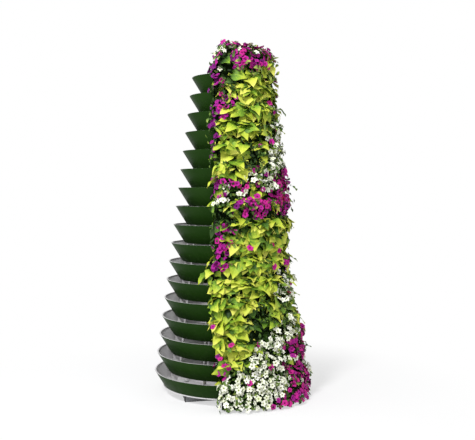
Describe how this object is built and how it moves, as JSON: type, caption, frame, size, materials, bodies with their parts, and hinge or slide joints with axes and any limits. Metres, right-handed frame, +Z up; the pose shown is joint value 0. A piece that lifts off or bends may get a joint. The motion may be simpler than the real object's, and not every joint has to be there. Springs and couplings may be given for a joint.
{
  "type": "vertical planter tower",
  "caption": "Tapering tower of flared, stacked steel collars on ledged posts and a low foot, with flowers and vines growing out of the gaps on one half.",
  "frame": {"origin": "on the tower's axis at ground level, in the underside of the foot's middle crossbar", "axes": "+Z up; the pictured side faces -Y and the planted half lies towards +X"},
  "size_m": [1.2812, 1.3594, 2.8429],
  "materials": {
    "green_steel": "semi-gloss dark green powder coat over galvanised sheet",
    "galvanised_steel": "dull galvanised",
    "foot_steel": "matte grey paint",
    "black_plastic": "moulded",
    "grey_plastic": "extruded pipe, satin",
    "petunia_planting": "soft petals and leaves",
    "vine_planting": "soft leaves, lime green"
  },
  "bodies": {
    "root": {"collar_01": "green_steel", "collar_02": "green_steel", "collar_03": "green_steel", "collar_04": "green_steel", "collar_05": "green_steel", "collar_06": "green_steel", "collar_07": "green_steel", "collar_08": "green_steel", "collar_09": "green_steel", "collar_10": "green_steel", "collar_11": "green_steel", "collar_12": "green_steel", "collar_13": "green_steel", "collar_14": "green_steel", "collar_15": "green_steel", "collar_16": "green_steel", "collar_17": "green_steel", "post_01": "galvanised_steel", "post_02": "galvanised_steel", "post_03": "galvanised_steel", "post_04": "galvanised_steel", "post_05": "galvanised_steel", "post_06": "galvanised_steel", "post_07": "galvanised_steel", "post_08": "galvanised_steel", "floor_plate": "galvanised_steel", "foot_rail_front": "foot_steel", "foot_rail_back": "foot_steel", "foot_crossbar_left": "foot_steel", "foot_crossbar_middle": "foot_steel", "foot_crossbar_right": "foot_steel", "foot_cap_front_left": "black_plastic", "foot_cap_front_right": "black_plastic", "foot_cap_back_left": "black_plastic", "foot_cap_back_right": "black_plastic", "watering_pipe": "grey_plastic", "pipe_socket": "grey_plastic", "pipe_cap": "grey_plastic", "petunias_base_front": "petunia_planting", "petunias_base_right_front": "petunia_planting", "petunias_base_right_back": "petunia_planting", "petunias_base_back": "petunia_planting", "vine_lower_front": "vine_planting", "vine_lower_right_front": "vine_planting", "vine_lower_right_back": "vine_planting", "vine_lower_back": "vine_planting", "petunias_middle_front": "petunia_planting", "petunias_middle_right_front": "petunia_planting", "petunias_middle_right_back": "petunia_planting", "petunias_middle_back": "petunia_planting", "vine_upper_front": "vine_planting", "vine_upper_right_front": "vine_planting", "vine_upper_right_back": "vine_planting", "vine_upper_back": "vine_planting", "petunias_crown": "petunia_planting"}
  },
  "joints": []
}
